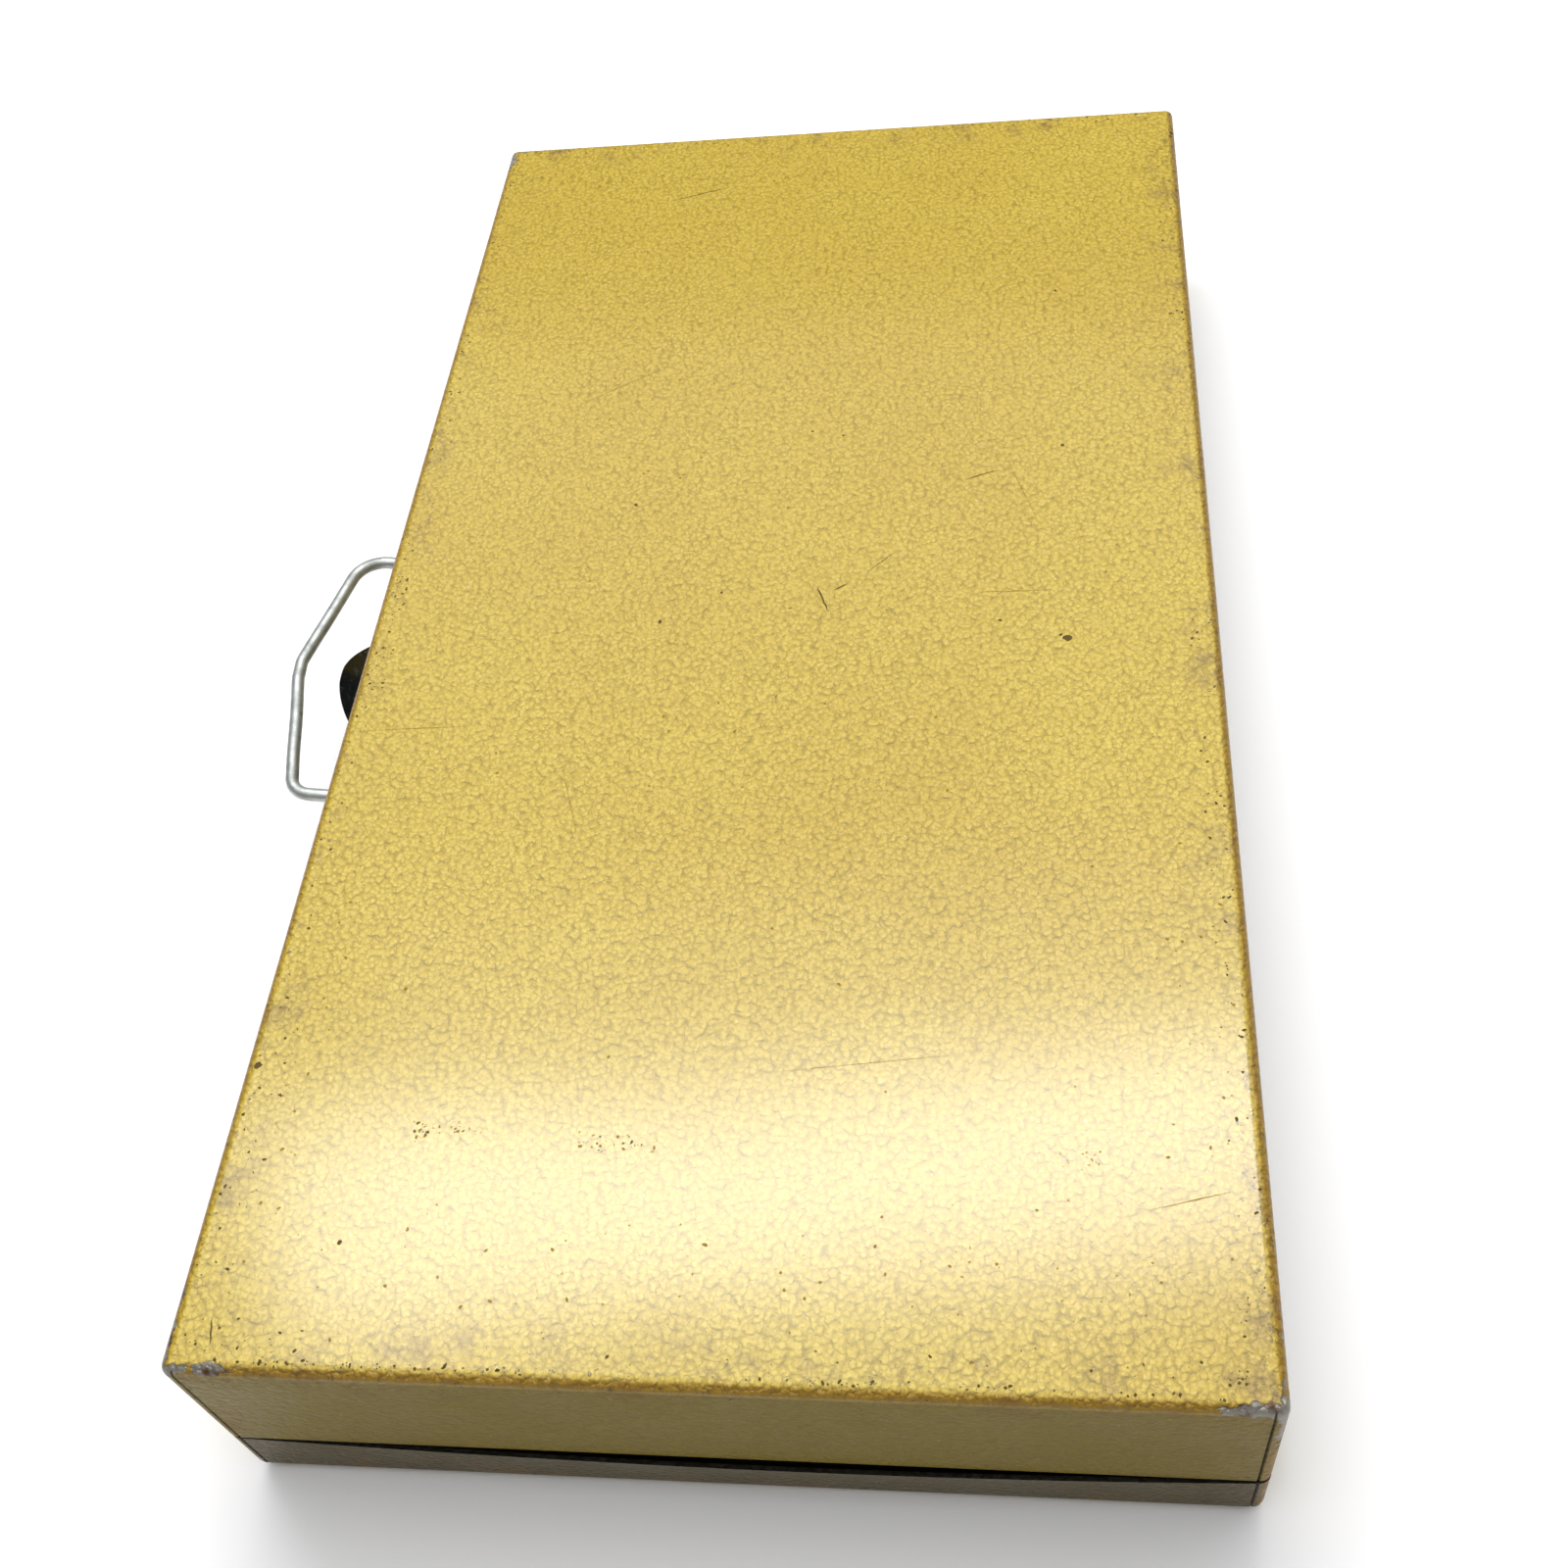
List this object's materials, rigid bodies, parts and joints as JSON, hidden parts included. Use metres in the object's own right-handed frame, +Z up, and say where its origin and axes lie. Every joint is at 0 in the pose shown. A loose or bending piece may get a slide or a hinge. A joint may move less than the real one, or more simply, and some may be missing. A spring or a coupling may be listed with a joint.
{
  "type": "sewing box with trays",
  "caption": "Long, flat steel case with a deep hinged lid, snap latch and wire handle, with loose trays in its base and a cantilever tray that rises as the lid opens.",
  "frame": {"origin": "centre of the case's underside, on the surface it stands on", "axes": "+X along the case, -Y out of the front with the latch and handle, +Z up"},
  "size_m": [0.381, 0.2347, 0.056],
  "materials": {
    "case_enamel": "hammertone ochre-gold enamel, worn to bare steel at edges",
    "inside_enamel": "matt enamel",
    "zinc": "dull zinc plate",
    "black_enamel": "gloss black",
    "tinned": "tinned sheet"
  },
  "bodies": {
    "base": {"base_pan": "case_enamel", "rim_lip": "inside_enamel", "hinge_leaf_lower": "zinc", "hinge_pin": "zinc", "latch_keeper": "black_enamel", "keeper_rivets": "zinc", "front_tray_left": "tinned", "front_tray_left_divider": "tinned", "front_tray_right": "tinned", "front_tray_right_dividers": "tinned", "rear_tray_left": "tinned", "rear_tray_right": "tinned", "rear_tray_right_dividers": "tinned", "arm_pivots": "zinc"},
    "lid": {"lid_cover": "case_enamel", "hinge_leaf_upper": "zinc", "latch_plate": "black_enamel", "latch_rivets": "zinc", "latch_pin": "zinc", "latch_spring": "zinc", "handle_bracket_left": "zinc", "handle_bracket_right": "zinc", "bracket_rivets": "zinc", "lid_link_pivots": "zinc"},
    "latch": {"latch_lever": "black_enamel"},
    "handle": {"handle_bail": "zinc"},
    "rear_arm_pair": {"rear_arms": "zinc", "arm_link_pins": "zinc"},
    "front_arm_pair": {"front_arms": "zinc"},
    "cantilever_tray": {"upper_tray": "tinned", "upper_tray_dividers": "tinned", "tray_pivots": "zinc"},
    "link_pair": {"lid_links": "zinc"}
  },
  "joints": [
    {"name": "lid_hinge", "type": "hinge", "parent": "base", "child": "lid", "pos_m": [0, 0.1022, 0.0195], "axis": [-1, 0, 0], "range_deg": [0, 110]},
    {"name": "latch_pivot", "type": "hinge", "parent": "lid", "child": "latch", "pos_m": [0, -0.105, 0.038], "axis": [-1, 0, 0], "range_deg": [0, 30], "stiffness_Nm_per_rad": 0.02, "springref_deg": -5.73},
    {"name": "handle_pivot", "type": "hinge", "parent": "lid", "child": "handle", "pos_m": [0, -0.1033, 0.028], "axis": [-1, 0, 0], "range_deg": [-98, 78]},
    {"name": "rear_arm_pivot", "type": "hinge", "parent": "base", "child": "rear_arm_pair", "pos_m": [0, 0.0376, 0.013], "axis": [-1, 0, 0], "range_deg": [0, 110]},
    {"name": "front_arm_pivot", "type": "hinge", "parent": "base", "child": "front_arm_pair", "pos_m": [0, -0.0024, 0.013], "axis": [-1, 0, 0], "range_deg": [0, 110]},
    {"name": "tray_pivot", "type": "hinge", "parent": "rear_arm_pair", "child": "cantilever_tray", "pos_m": [0, -0.02977, 0.032], "axis": [-1, 0, 0], "range_deg": [-110, 0]},
    {"name": "link_pivot", "type": "hinge", "parent": "lid", "child": "link_pair", "pos_m": [0, 0.07333, 0.02764], "axis": [-1, 0, 0], "range_deg": [-110, 0]}
  ],
  "couplings": [
    {"joint": "rear_arm_pivot", "follows": "lid_hinge", "ratio": 1},
    {"joint": "front_arm_pivot", "follows": "lid_hinge", "ratio": 1},
    {"joint": "tray_pivot", "follows": "lid_hinge", "ratio": -1},
    {"joint": "link_pivot", "follows": "lid_hinge", "ratio": -1}
  ]
}
